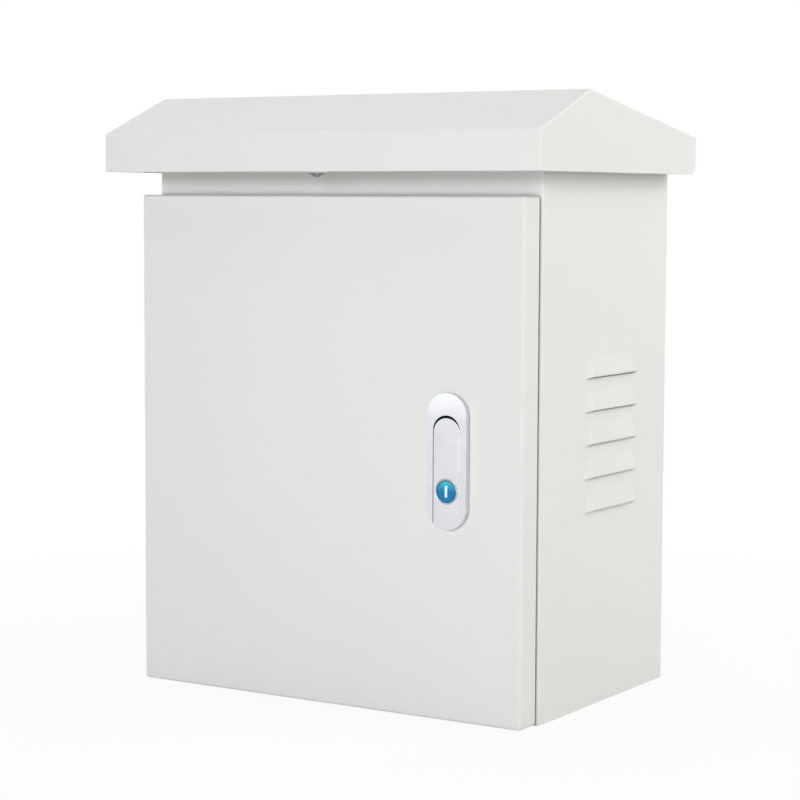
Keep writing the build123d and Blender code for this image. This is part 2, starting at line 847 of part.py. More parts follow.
def main():
    os.makedirs("parts", exist_ok=True)
    right_rib = hood_rib()
    save("hood_rib_right", right_rib)
    save("hood_rib_left", mirror(right_rib, about=Plane.YZ))
    for name, z0 in zip(hinge_names, hinge_lows):
        save("hinge_body_leaf_" + name, hinge_body_leaf(z0))
        save("hinge_door_leaf_" + name, hinge_door_leaf(z0))
        save("hinge_pin_" + name, hinge_pin(z0))
    for number, x in enumerate(grommet_places(), 1):
        save("cable_grommet_" + str(number), cable_grommet(x))
    for piece in (body_wrap, top_panel, bottom_panel, wall_spacers,
                  rain_hood, hood_bolts, hood_washers, hood_nuts,
                  door_panel, door_gasket, lock_seal_pad, lock_base, lock_handle, handle_pin,
                  lock_barrel, lock_bracket, barrel_nut,
                  key_cap, keyway, key_spindle, latch_cam, cam_washer, cam_screw,
                  mounting_plate, plate_studs, plate_sleeves, plate_washers, plate_nuts,
                  gland_gasket, gland_plate, gland_studs, gland_nuts,
                  earth_stud, earth_washer, earth_nut,
                  door_earth_stud, door_earth_washer, door_earth_nut):
        save(piece.__name__, piece())


main()
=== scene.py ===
import bmesh
import bpy
import json
import math
from mathutils import Matrix, Vector


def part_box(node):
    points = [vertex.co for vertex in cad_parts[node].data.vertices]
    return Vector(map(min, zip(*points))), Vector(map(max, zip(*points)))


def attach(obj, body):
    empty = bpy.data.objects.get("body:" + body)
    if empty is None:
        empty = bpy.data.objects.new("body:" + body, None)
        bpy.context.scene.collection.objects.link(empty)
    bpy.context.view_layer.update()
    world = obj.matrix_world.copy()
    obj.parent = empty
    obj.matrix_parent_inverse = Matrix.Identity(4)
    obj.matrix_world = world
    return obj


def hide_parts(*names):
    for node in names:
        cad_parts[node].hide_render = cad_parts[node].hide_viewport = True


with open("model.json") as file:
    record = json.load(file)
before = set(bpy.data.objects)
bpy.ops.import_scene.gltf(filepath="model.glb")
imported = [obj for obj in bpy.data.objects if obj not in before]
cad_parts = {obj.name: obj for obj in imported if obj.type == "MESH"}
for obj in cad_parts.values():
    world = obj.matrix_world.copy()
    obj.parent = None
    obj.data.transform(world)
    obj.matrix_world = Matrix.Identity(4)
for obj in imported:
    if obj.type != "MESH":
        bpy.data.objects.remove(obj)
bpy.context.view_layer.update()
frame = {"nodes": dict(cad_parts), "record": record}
nodes = frame["nodes"]
mm = 0.001
near = 0.001  # in millimetres, as the two below: places this close count as one
weldGap = 0.002  # corners this close are merged
cutGap = 0.0001  # a cut this close to a corner goes through it
print("stage: frame loaded,", len(nodes), "solids")


class Wire:  # one shader socket, so that shader maths reads as plain Python

    def __init__(self, tree, socket=None):
        self.tree = tree
        self.socket = socket

    def add(self, kind, settings=None, sockets=None, out=0):
        node = self.tree.nodes.new("ShaderNode" + kind)
        for name, value in (settings or {}).items():
            setattr(node, name, value)
        for name, value in (sockets or {}).items():
            if isinstance(value, Wire):
                self.tree.links.new(value.socket, node.inputs[name])
            else:
                node.inputs[name].default_value = value
        return Wire(self.tree, node.outputs[out] if node.outputs else None)

    def maths(self, operation, left, right):
        return self.add("Math", {"operation": operation}, {0: left, 1: right})

    def __add__(self, other):
        return self.maths("ADD", self, other)

    def __radd__(self, other):
        return self.maths("ADD", other, self)

    def __sub__(self, other):
        return self.maths("SUBTRACT", self, other)

    def __rsub__(self, other):
        return self.maths("SUBTRACT", other, self)

    def __mul__(self, other):
        return self.maths("MULTIPLY", self, other)

    def __rmul__(self, other):
        return self.maths("MULTIPLY", other, self)

    def blend(self, share, first, second):  # colours, which a Math node would turn grey
        return self.add("Mix", {"data_type": "RGBA"}, {0: share, 6: first, 7: second}, 2)

    def noise(self, place, scale, detail=2):
        return self.add("TexNoise", None, {"Vector": place, "Scale": scale, "Detail": detail, "Roughness": 0.5})

    def bump(self, height, distance, strength):
        return self.add("Bump", None, {"Strength": strength, "Distance": distance, "Height": height})

    def along(self, place, axis):
        return self.add("SeparateXYZ", None, {"Vector": place}, axis)

    def ramp(self, value, low, high, shape="LINEAR"):  # 0 at low, 1 at high
        return self.add("MapRange", {"interpolation_type": shape},
                        {"Value": value, "From Min": low, "From Max": high})


def makeMaterial(name, recipe):
    material = bpy.data.materials.new(name)
    material.use_nodes = True
    tree = material.node_tree
    tree.nodes.clear()
    wire = Wire(tree)
    place = wire.add("TexCoord", out="Object")
    surface = wire.add("BsdfPrincipled", None, recipe(wire, place))
    wire.add("OutputMaterial", None, {"Surface": surface})
    return material


# Powder coat: a light warm grey with a fine orange peel
paint = {"colour": (0.738, 0.738, 0.712, 1), "deeper": (0.72, 0.72, 0.692, 1), "rough": 0.6, "shine": 0.35,
         "roughSpread": 0.08, "cloudScale": 6, "peelScale": 360, "peelHeight": 0.000012, "peelStrength": 1,
         "grainScale": 2600, "grainShare": 0.25}


def paintRecipe(wire, place):
    cloud = wire.noise(place, paint["cloudScale"], detail=3)
    peel = wire.noise(place, paint["peelScale"], detail=2)
    grain = wire.noise(place, paint["grainScale"], detail=1)
    height = peel + grain * paint["grainShare"]
    return {"Base Color": wire.blend(cloud, paint["colour"], paint["deeper"]),
            "Roughness": cloud * paint["roughSpread"] + (paint["rough"] - paint["roughSpread"] / 2),
            "Specular IOR Level": paint["shine"],
            "Normal": wire.bump(height, paint["peelHeight"], paint["peelStrength"])}


# The hood's coat, with painted shade on the small tab that hangs behind the fascia: the tab is coloured dark,
# mottled at random, to stand for the shadow it sits in
tabShade = {"paintedShadeDark": (0.13, 0.13, 0.135, 1), "paintedShadeMottle": (0.2, 0.2, 0.2, 1), "mottleScale": 400,
       "edge": 0.4662, "soft": 0.0004}


def hoodRecipe(wire, place):
    coat = paintRecipe(wire, place)
    # Painted shade: the tab below this height is coloured dark for the shadow behind the fascia
    inTabShade = 1 - wire.ramp(wire.along(place, "Z"), tabShade["edge"] - tabShade["soft"], tabShade["edge"])
    paintedShade = wire.blend(wire.noise(place, tabShade["mottleScale"]), tabShade["paintedShadeDark"], tabShade["paintedShadeMottle"])
    coat["Base Color"] = wire.blend(inTabShade, coat["Base Color"], paintedShade)
    return coat


# Galvanised sheet: crystals of zinc that each catch the light a little differently
zincSheet = {"pale": (0.66, 0.67, 0.68, 1), "dark": (0.5, 0.515, 0.53, 1), "crystalScale": 90,
             "crystalShare": 0.7, "warpScale": 40, "warpShare": 0.3, "rough": 0.3, "roughSpread": 0.22,
             "scratchScale": 700, "scratchHeight": 0.00001, "scratchStrength": 0.6}


def zincSheetRecipe(wire, place):
    warp = wire.noise(place, zincSheet["warpScale"], detail=2)
    crystal = wire.add("TexVoronoi", None, {"Vector": place, "Scale": zincSheet["crystalScale"]}, "Color")
    tone = wire.add("SeparateColor", None, {"Color": crystal}, "Red")
    tone = tone * zincSheet["crystalShare"] + warp * zincSheet["warpShare"]
    scratch = wire.noise(place, zincSheet["scratchScale"], detail=3)
    return {"Base Color": wire.blend(tone, zincSheet["dark"], zincSheet["pale"]), "Metallic": 1.0,
            "Roughness": tone * zincSheet["roughSpread"] + zincSheet["rough"],
            "Normal": wire.bump(scratch, zincSheet["scratchHeight"], zincSheet["scratchStrength"])}


# Bright zinc plating on the screws, studs and hinges
zincPlating = {"pale": (0.74, 0.74, 0.73, 1), "tint": (0.62, 0.63, 0.66, 1), "tintScale": 160, "rough": 0.24,
               "roughSpread": 0.14, "millScale": 1500, "millHeight": 0.000008, "millStrength": 0.5}


def zincPlatingRecipe(wire, place):
    tint = wire.noise(place, zincPlating["tintScale"], detail=3)
    mill = wire.noise(place, zincPlating["millScale"], detail=2)
    return {"Base Color": wire.blend(tint, zincPlating["tint"], zincPlating["pale"]), "Metallic": 1.0,
            "Roughness": mill * zincPlating["roughSpread"] + zincPlating["rough"],
            "Normal": wire.bump(mill, zincPlating["millHeight"], zincPlating["millStrength"])}


# Satin chrome on the lock's castings
chrome = {"pale": (0.675, 0.69, 0.725, 1), "deep": (0.645, 0.66, 0.695, 1), "cloudScale": 70, "rough": 0.24,
          "roughSpread": 0.08, "grainScale": 2400, "grainHeight": 0.000004, "grainStrength": 0.5}


def chromeRecipe(wire, place, plan=chrome):
    cloud = wire.noise(place, plan["cloudScale"], detail=3)
    grain = wire.noise(place, plan["grainScale"], detail=2)
    return {"Base Color": wire.blend(cloud, plan["deep"], plan["pale"]), "Metallic": 1.0,
            "Roughness": cloud * plan["roughSpread"] + plan["rough"],
            "Normal": wire.bump(grain, plan["grainHeight"], plan["grainStrength"])}


# The bar in the key disc: a brighter, bluer polish
keySteel = {"pale": (0.72, 0.86, 0.97, 1), "deep": (0.6, 0.78, 0.94, 1), "cloudScale": 300, "rough": 0.2,
            "roughSpread": 0.1, "grainScale": 2400, "grainHeight": 0.000003, "grainStrength": 0.5}


def keySteelRecipe(wire, place):
    return chromeRecipe(wire, place, keySteel)


# The lock's base: chrome outside, and painted shade inside the slot behind the handle, a near-black colour
# standing for the shade in that recess, with a rougher surface.
# X, Y and Z hold the middle of the slot and its reach to either side, in metres.
lockSlotShade = {"dark": (0.012, 0.012, 0.014, 1), "shadeGrey": (0.03, 0.03, 0.034, 1), "shadeSpotScale": 900, "rougher": 0.4,
           "X": (0.1287, 0.0132), "Y": (-0.1251, 0.0064), "Z": (0.21725, 0.04595)}


def lockSlotShadeRecipe(wire, place):
    coat = chromeRecipe(wire, place)
    inside = 1
    for axis in "XYZ":
        middle, reach = lockSlotShade[axis]
        inside = inside * wire.add("Math", {"operation": "COMPARE"},
                                   {0: wire.along(place, axis), 1: middle, 2: reach})
    # Painted shade: near-black, mottled at random, in place of the chrome inside the slot
    rough = wire.blend(wire.noise(place, lockSlotShade["shadeSpotScale"]), lockSlotShade["dark"], lockSlotShade["shadeGrey"])
    coat["Base Color"] = wire.blend(inside, coat["Base Color"], rough)
    coat["Roughness"] = coat["Roughness"] + inside * lockSlotShade["rougher"]
    return coat


# Black rubber of the seals and grommets
rubber = {"dark": (0.018, 0.018, 0.019, 1), "bloom": (0.045, 0.045, 0.047, 1), "bloomScale": 120, "rough": 0.72,
          "roughSpread": 0.16, "poreScale": 1800, "poreHeight": 0.00004, "poreStrength": 0.7}


def rubberRecipe(wire, place):
    bloom = wire.noise(place, rubber["bloomScale"], detail=4)
    pore = wire.noise(place, rubber["poreScale"], detail=3)
    return {"Base Color": wire.blend(bloom, rubber["dark"], rubber["bloom"]),
            "Roughness": bloom * rubber["roughSpread"] + rubber["rough"],
            "Normal": wire.bump(pore, rubber["poreHeight"], rubber["poreStrength"])}


# Glossy blue plastic of the key disc, with a painted teal highlight towards the top and painted shade darkening
# the rim
blue = {"deep": (0.001, 0.15, 0.38, 1), "light": (0.001, 0.21, 0.46, 1), "cloudScale": 180,
        "paintedHighlightTeal": (0.035, 0.54, 0.65, 1), "highlightLow": 0.1985, "highlightHigh": 0.2075,
        "edge": (0.001, 0.085, 0.2, 1), "rimShadeFrom": 0.0076, "rimShadeTo": 0.0098,
        "middle": (0.1287, -0.133, 0.19845), "coat": 0.05, "shine": 0.25, "rough": 0.12, "roughSpread": 0.08,
        "waveScale": 900, "waveHeight": 0.00001, "waveStrength": 0.4}


def blueRecipe(wire, place):
    cloud = wire.noise(place, blue["cloudScale"], detail=2)
    wave = wire.noise(place, blue["waveScale"], detail=1)
    # Painted highlight: teal towards the disc's top
    paintedHighlight = wire.ramp(wire.along(place, "Z"), blue["highlightLow"], blue["highlightHigh"])
    face = wire.blend(paintedHighlight, wire.blend(cloud, blue["deep"], blue["light"]), blue["paintedHighlightTeal"])
    # Painted shade: darker towards the disc's rim
    out = wire.add("VectorMath", {"operation": "DISTANCE"}, {0: place, 1: blue["middle"]}, "Value")
    rim = wire.ramp(out, blue["rimShadeFrom"], blue["rimShadeTo"], "SMOOTHSTEP")
    return {"Base Color": wire.blend(rim, face, blue["edge"]),
            "Coat Weight": blue["coat"], "Specular IOR Level": blue["shine"],
            "Roughness": cloud * blue["roughSpread"] + blue["rough"],
            "Normal": wire.bump(wave, blue["waveHeight"], blue["waveStrength"])}


finishes = {"paint": makeMaterial("powderCoat", paintRecipe),
            "hood": makeMaterial("hoodCoatPaintedShade", hoodRecipe),
            "zinc_plate": makeMaterial("galvanisedSheet", zincSheetRecipe),
            "zinc_fastener": makeMaterial("zincPlating", zincPlatingRecipe),
            "satin_chrome": makeMaterial("satinChrome", chromeRecipe),
            "lockSlotShade": makeMaterial("lockSlotPaintedShade", lockSlotShadeRecipe),
            "keySteel": makeMaterial("keySteel", keySteelRecipe),
            "black_rubber": makeMaterial("blackRubber", rubberRecipe),
            "blue_plastic": makeMaterial("bluePlastic", blueRecipe)}
print("stage: materials made,", len(finishes))

# Each solid takes the finish of its own slot in the record
for row in frame["record"]["subparts"]:
    mesh = nodes[row["node"]].data
    mesh.materials.clear()
    mesh.materials.append(finishes[row["material_slot"]])
nodes["rain_hood"].data.materials[0] = finishes["hood"]
print("stage: solids dressed")


# Small mesh tools that the pieces share, from here to boxOf
def run(step):  # a straight stretch of an outline
    return {"step": Vector(step) * mm}


def bend(centre, axis, degrees, steps):  # a round stretch of an outline
    return {"centre": Vector(centre) * mm, "axis": axis, "turn": math.radians(degrees), "steps": steps}


def pick(items, kind):  # the corners, edges or faces among what an operator made
    return [item for item in items if isinstance(item, kind)]


def cornersOf(parts):  # each corner once, always in the same order
    return list(dict.fromkeys(vert for part in parts for vert in part.verts))


def edgesSince(bm, known):
    return [edge for edge in bm.edges if edge not in known]


def traceOutline(bm, start, moves):
    known = set(bm.edges)
    tip = bm.verts.new(Vector(start) * mm)
    for move in moves:
        if "step" in move:
            tip = bmesh.ops.extrude_vert_indiv(bm, verts=[tip])["verts"][0]
            bmesh.ops.translate(bm, vec=move["step"], verts=[tip])
        else:
            spun = bmesh.ops.spin(bm, geom=[tip], cent=move["centre"], axis=move["axis"],
                                  angle=move["turn"], steps=move["steps"])
            tip = pick(spun["geom_last"], bmesh.types.BMVert)[0]
    return edgesSince(bm, known)


def traceLoop(bm, start, moves):  # an outline that ends where it began
    known = set(bm.edges)
    corners = cornersOf(traceOutline(bm, start, moves))
    bmesh.ops.remove_doubles(bm, verts=corners, dist=weldGap * mm)
    return edgesSince(bm, known)


def traceRing(bm, radius, place, steps, turn="X"):  # a circle that faces the door's way, or sideways with "Y"
    stand = Matrix.Translation(Vector(place) * mm) @ Matrix.Rotation(math.radians(90), 4, turn)
    known = set(bm.edges)
    bmesh.ops.create_circle(bm, segments=steps, radius=radius * mm, matrix=stand)
    return edgesSince(bm, known)


def weld(bm):
    bmesh.ops.remove_doubles(bm, verts=bm.verts, dist=weldGap * mm)


def fill(bm, edges):
    filled = bmesh.ops.triangle_fill(bm, use_beauty=True, edges=edges, normal=(0, -1, 0))
    return pick(filled["geom"], bmesh.types.BMFace)


def pushFaces(bm, faces, step, keep=False):
    pushed = bmesh.ops.extrude_face_region(bm, geom=faces, use_keep_orig=True)["geom"]
    bmesh.ops.translate(bm, vec=Vector(step) * mm, verts=pick(pushed, bmesh.types.BMVert))
    if not keep:
        bmesh.ops.delete(bm, geom=faces, context="FACES")


def pushEdges(bm, edges, step):
    pushed = bmesh.ops.extrude_edge_only(bm, edges=edges)["geom"]
    bmesh.ops.translate(bm, vec=Vector(step) * mm, verts=pick(pushed, bmesh.types.BMVert))
    return pick(pushed, bmesh.types.BMEdge)


def roundEdges(bm, edges, size, steps):
    bmesh.ops.bevel(bm, geom=edges, offset=size * mm, offset_type="OFFSET", segments=steps, profile=0.5,
                    affect="EDGES", clamp_overlap=True, material=-1)


def cutLoops(bm, places, axis, chosen=None):  # extra loops across a piece, so that it can be shaped
    normal = Vector((axis == "x", axis == "y", axis == "z"))
    for place in places:
        faces = [face for face in bm.faces if chosen is None or chosen(face)]
        edges = dict.fromkeys(edge for face in faces for edge in face.edges)
        parts = cornersOf(faces) + list(edges) + faces
        bmesh.ops.bisect_plane(bm, geom=parts, dist=cutGap * mm, plane_co=normal * place * mm, plane_no=normal)


def inPlane(face, y):  # whether a face lies flat at one depth
    return all(abs(vert.co.y / mm - y) < near for vert in face.verts)


def cutStrips(bm, places, axis, y):  # one face for each strip, so that the flat reflects evenly once shaped
    cutLoops(bm, places, axis, lambda face: inPlane(face, y))
    side = "xyz".index(axis)
    inner = []
    for edge in bm.edges:
        start, end = [vert.co[side] / mm for vert in edge.verts]
        onLoop = any(abs(start - place) < near and abs(end - place) < near for place in places)
        if not onLoop and all(inPlane(face, y) for face in edge.link_faces):
            inner.append(edge)
    bmesh.ops.dissolve_edges(bm, edges=inner, use_verts=True)


def finishPiece(name, bm, body, slot, stoodFor, sharpAngle=35, finish=None):
    weld(bm)
    bmesh.ops.recalc_face_normals(bm, faces=bm.faces)
    mesh = bpy.data.meshes.new(name)
    bm.to_mesh(mesh)
    bm.free()
    mesh.shade_smooth()
    mesh.set_sharp_from_angle(angle=math.radians(sharpAngle))
    mesh.materials.append(finishes[finish or slot])
    piece = bpy.data.objects.new(name, mesh)
    bpy.context.scene.collection.objects.link(piece)
    normals = piece.modifiers.new("evenNormals", "WEIGHTED_NORMAL")
    normals.keep_sharp = True
    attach(piece, body)
    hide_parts(stoodFor)
    print("stage:", name, len(mesh.polygons), "faces")


def boxOf(node):  # a solid's corners in millimetres
    low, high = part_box(node)
    return low / mm, high / mm


def lockFacts():  # sizes that the pieces of the lock share, in millimetres
    low, high = boxOf("lock_base")
    keyLow, keyHigh = boxOf("key_cap")
    return {"x": (low.x + high.x) / 2, "radius": (high.x - low.x) / 2, "low": low.z, "high": high.z,
            "face": low.y, "back": high.y, "keyZ": (keyLow.z + keyHigh.z) / 2,
            "keyRadius": (keyHigh.x - keyLow.x) / 2, "keyFace": keyLow.y}


lock = lockFacts()
depthAxis = (0, 1, 0)  # outlines in the door's plane turn about it

# The lock's handle: a flush bar with an arched top, a crowned face and a hole for the key
handlePlan = {"thickness": 3.8, "crown": 0.4, "edgeRound": 0.45, "holeRound": 0.25, "roundSteps": 4,
              "holeGap": 1.05, "holeSteps": 56, "steps": 20, "bands": 42,
              "bossRadius": 2, "pinRadius": 1.55, "bossInset": 1, "bossSteps": 36}


def makeHandle():
    low, high = boxOf("lock_handle")
    half = (high.x - low.x) / 2
    x = lock["x"]
    y = lock["face"]
    steps = handlePlan["steps"]
    arch = high.z - half
    endZ = lock["low"] + lock["radius"]
    endAngle = math.degrees(math.asin(half / lock["radius"]))
    endRise = endZ - lock["radius"] * math.cos(math.radians(endAngle))
    bm = bmesh.new()
    rim = traceLoop(bm, (x - half, y, endRise),
                    [run((0, 0, arch - endRise)), bend((x, y, arch), depthAxis, 180, steps),
                     run((0, 0, endRise - arch)), bend((x, y, endZ), depthAxis, 2 * endAngle, steps)])
    holeRadius = lock["keyRadius"] + handlePlan["holeGap"]
    hole = traceRing(bm, holeRadius, (x, y, lock["keyZ"]), handlePlan["holeSteps"])
    pushFaces(bm, fill(bm, rim + hole), (0, handlePlan["thickness"], 0), keep=True)
    roundEdges(bm, rim, handlePlan["edgeRound"], handlePlan["roundSteps"])
    roundEdges(bm, hole, handlePlan["holeRound"], handlePlan["roundSteps"])
    bands = handlePlan["bands"]
    cutStrips(bm, [x - half + 2 * half * band / bands for band in range(1, bands)], "x", y)
    for vert in bm.verts:  # the face falls away towards both long edges
        depth = (vert.co.y / mm - y) / handlePlan["thickness"]
        across = (vert.co.x / mm - x) / half
        vert.co.y += handlePlan["crown"] * mm * across ** 2 * max(0, 1 - depth)
    # The boss that the handle turns on, across its back
    pinLow, pinHigh = boxOf("handle_pin")
    pin = (pinLow + pinHigh) / 2
    reach = half - handlePlan["bossInset"]
    rings = []
    for radius in (handlePlan["bossRadius"], handlePlan["pinRadius"]):
        rings += traceRing(bm, radius, (x - reach, pin.y, pin.z), handlePlan["bossSteps"], "Y")
    boss = bmesh.ops.bridge_loops(bm, edges=rings)["faces"]
    pushFaces(bm, boss, (2 * reach, 0, 0), keep=True)
    finishPiece("lockHandle", bm, "handle", "satin_chrome", "lock_handle")


# The lock's base: a pill-shaped flange with a slot for the handle, on a housing that goes through the door
basePlan = {"slotGap": 0.3, "slotDepth": 4.2, "slotArchDrop": 31.8, "floor": 1, "pocketDepth": 12,
            "pocketDrop": 3.9, "housingInset": 3.75, "housingLow": 12.3, "housingHigh": 15,
            "boreGap": 0.75, "boreSteps": 56, "rimRound": 2.4, "rimSteps": 6, "rimWidth": 0.3, "rimAngle": 1,
            "capDome": 0.8, "capPower": 1.5, "capDrop": 20, "capBands": 32,
            "steps": 28, "cornerSteps": 10, "footSteps": 16}


def traceFlange(bm, floorY, slotHalf, lowZ, highZ, archZ):  # the flange's outside, its foot and the slot's edge
    x = lock["x"]
    steps = basePlan["steps"]
    corner = basePlan["cornerSteps"]
    endAngle = math.degrees(math.asin(slotHalf / lock["radius"]))
    endZ = lowZ - lock["radius"] * math.cos(math.radians(endAngle))
    outside = [bend((x, floorY, lowZ), depthAxis, 90 - endAngle, corner), run((0, 0, highZ - lowZ)),
               bend((x, floorY, highZ), depthAxis, 180, steps), run((0, 0, lowZ - highZ)),
               bend((x, floorY, lowZ), depthAxis, 90 - endAngle, corner)]
    foot = [bend((x, floorY, lowZ), depthAxis, 2 * endAngle, basePlan["footSteps"])]
    slot = [run((0, 0, archZ - endZ)), bend((x, floorY, archZ), depthAxis, 180, steps),
            run((0, 0, endZ - archZ))]
    chain = bm.edges.layers.int.new("chain")  # tells the three apart once their ends are welded
    for number, (side, moves) in enumerate(((-1, outside), (1, foot), (-1, slot)), 1):
        for edge in traceOutline(bm, (x + side * slotHalf, floorY, endZ), moves):
            edge[chain] = number
    weld(bm)
    return [[edge for edge in bm.edges if edge[chain] == number] for number in (1, 2, 3)]


def makeLockBase():
    x = lock["x"]
    radius = lock["radius"]
    steps = basePlan["steps"]
    handleLow, handleHigh = boxOf("lock_handle")
    slotHalf = (handleHigh.x - handleLow.x) / 2 + basePlan["slotGap"]
    floorY = lock["face"] + basePlan["slotDepth"]
    flangeY = floorY + basePlan["floor"]
    lowZ = lock["low"] + radius
    highZ = lock["high"] - radius
    archZ = lock["high"] - basePlan["slotArchDrop"]
    bm = bmesh.new()
    outer, foot, slot = traceFlange(bm, floorY, slotHalf, lowZ, highZ, archZ)
    boreRadius = lock["keyRadius"] + basePlan["boreGap"]
    bore = traceRing(bm, boreRadius, (x, floorY, lock["keyZ"]), basePlan["boreSteps"])
    pushFaces(bm, fill(bm, outer + slot), (0, -basePlan["slotDepth"], 0))
    fill(bm, foot + slot + bore)
    # A deeper pocket behind the handle's pivot
    pocketZ = archZ - basePlan["pocketDrop"]
    cutLoops(bm, [pocketZ], "z", lambda face: inPlane(face, floorY))
    pocket = [face for face in bm.faces
              if inPlane(face, floorY) and face.calc_center_median().z > pocketZ * mm]
    pushFaces(bm, pocket, (0, basePlan["pocketDepth"] - basePlan["slotDepth"], 0))
    # The flange's back and the housing
    flangeBack = pushEdges(bm, outer + foot, (0, basePlan["floor"], 0))
    boreBack = pushEdges(bm, bore, (0, lock["back"] - floorY, 0))
    inner = radius - basePlan["housingInset"]
    housingLow = lock["low"] + basePlan["housingLow"] + inner
    housingHigh = lock["high"] - basePlan["housingHigh"] - inner
    straight = housingHigh - housingLow
    housing = traceLoop(bm, (x - inner, flangeY, housingLow),
                        [run((0, 0, straight)), bend((x, flangeY, housingHigh), depthAxis, 180, steps),
                         run((0, 0, -straight)), bend((x, flangeY, housingLow), depthAxis, 180, steps)])
    fill(bm, flangeBack + housing)
    housingBack = pushEdges(bm, housing, (0, lock["back"] - flangeY, 0))
    fill(bm, housingBack + boreBack)
    weld(bm)
    # The front's outer edge is rounded, the slot's stays crisp
    rim = []
    for edge in bm.edges:
        middle = (edge.verts[0].co + edge.verts[1].co) / (2 * mm)
        nearest = min(max(middle.z, lowZ), highZ)
        onFront = all(abs(vert.co.y / mm - lock["face"]) < near for vert in edge.verts)
        outside = math.hypot(middle.x - x, middle.z - nearest) > radius - basePlan["rimWidth"]
        if onFront and outside and edge.calc_face_angle(0) > basePlan["rimAngle"]:
            rim.append(edge)
    roundEdges(bm, rim, basePlan["rimRound"], basePlan["rimSteps"])
    capZ = lock["high"] - basePlan["capDrop"]
    bands = basePlan["capBands"]
    cutStrips(bm, [capZ + basePlan["capDrop"] * band / bands for band in range(bands)], "z", lock["face"])
    for vert in bm.verts:  # the cap above the handle leans back towards the top
        rise = max(0, (vert.co.z / mm - capZ) / basePlan["capDrop"])
        depth = (vert.co.y / mm - lock["face"]) / basePlan["slotDepth"]
        vert.co.y += basePlan["capDome"] * mm * rise ** basePlan["capPower"] * max(0, 1 - depth)
    # The base's finish paints shade inside the slot behind the handle
    finishPiece("lockBase", bm, "door", "satin_chrome", "lock_base", finish="lockSlotShade")


# The blue key disc: a low dome with a soft rim and an upright slot
discPlan = {"dome": 0.9, "rimRound": 1, "rimSteps": 5, "slotWidth": 3.4, "slotHeight": 10, "steps": 64,
            "bands": 12, "sharpAngle": 40}


def makeKeyDisc():
    low, high = boxOf("key_cap")
    x = lock["x"]
    y = lock["keyFace"]
    z = lock["keyZ"]
    radius = lock["keyRadius"]
    wide = discPlan["slotWidth"]
    tall = discPlan["slotHeight"]
    bm = bmesh.new()
    rim = traceRing(bm, radius, (x, y, z), discPlan["steps"])
    slot = traceLoop(bm, (x - wide / 2, y, z - tall / 2),
                     [run((0, 0, tall)), run((wide, 0, 0)), run((0, 0, -tall)), run((-wide, 0, 0))])
    pushFaces(bm, fill(bm, rim + slot), (0, high.y - low.y, 0), keep=True)
    roundEdges(bm, rim, discPlan["rimRound"], discPlan["rimSteps"])
    bands = discPlan["bands"]
    places = [radius * (2 * band / bands - 1) for band in range(1, bands)]
    cutLoops(bm, [x + place for place in places], "x")
    cutLoops(bm, [z + place for place in places], "z")
    for vert in bm.verts:  # the face falls away from its middle
        depth = (vert.co.y / mm - y) / (high.y - low.y)
        out = math.hypot(vert.co.x / mm - x, vert.co.z / mm - z) / radius
        vert.co.y += discPlan["dome"] * mm * out ** 2 * max(0, 1 - depth)
    finishPiece("keyDisc", bm, "key", "blue_plastic", "key_cap", discPlan["sharpAngle"])


# The keyhole: a pale bar let into the disc, with a shutter just inside its slot
keyholePlan = {"sideGap": 0.3, "slotInset": 0.9, "slotDepth": 0.5, "edgeRound": 0.25, "edgeSteps": 3}


def makeKeyhole():
    low, high = boxOf("keyway")
    size = high - low - Vector((2 * keyholePlan["sideGap"], 0, 0))
    stand = Matrix.Translation((low + high) / 2 * mm) @ Matrix.Diagonal((*(size * mm), 1))
    bm = bmesh.new()
    bmesh.ops.create_cube(bm, size=1, matrix=stand)
    bm.normal_update()
    front = [face for face in bm.faces if inPlane(face, low.y)]
    rim = [edge for face in front for edge in face.edges]
    bmesh.ops.inset_region(bm, faces=front, thickness=keyholePlan["slotInset"] * mm, use_even_offset=True)
    pushFaces(bm, front, (0, keyholePlan["slotDepth"], 0))
    roundEdges(bm, rim, keyholePlan["edgeRound"], keyholePlan["edgeSteps"])
    finishPiece("keyhole", bm, "key", "satin_chrome", "keyway", finish="keySteel")


# The barrel that the key disc turns in: a turned tube with a rounded front rim
barrelPlan = {"rimRound": 0.2, "rimSteps": 3, "capDepth": 5.05, "capGap": 0.05, "bore": 6.05, "steps": 72}


def makeBarrel():
    low, high = boxOf("lock_barrel")
    x = lock["x"]
    z = lock["keyZ"]
    outer = (high.x - low.x) / 2
    inner = lock["keyRadius"] + barrelPlan["capGap"]
    bore = barrelPlan["bore"]
    size = barrelPlan["rimRound"]
    steps = barrelPlan["rimSteps"]
    depth = barrelPlan["capDepth"]
    turn = (0, 0, 1)
    bm = bmesh.new()
    profile = traceLoop(bm, (x + inner, low.y + size, z),
                        [bend((x + inner + size, low.y + size, z), turn, 90, steps),
                         run((outer - inner - 2 * size, 0, 0)),
                         bend((x + outer - size, low.y + size, z), turn, 90, steps),
                         run((0, high.y - low.y - size, 0)), run((bore - outer, 0, 0)),
                         run((0, low.y + depth - high.y, 0)), run((inner - bore, 0, 0)),
                         run((0, size - depth, 0))])
    bmesh.ops.spin(bm, geom=cornersOf(profile) + profile, cent=Vector((x, 0, z)) * mm, axis=depthAxis,
                   angle=math.radians(360), steps=barrelPlan["steps"], use_merge=True)
    finishPiece("barrel", bm, "door", "satin_chrome", "lock_barrel")


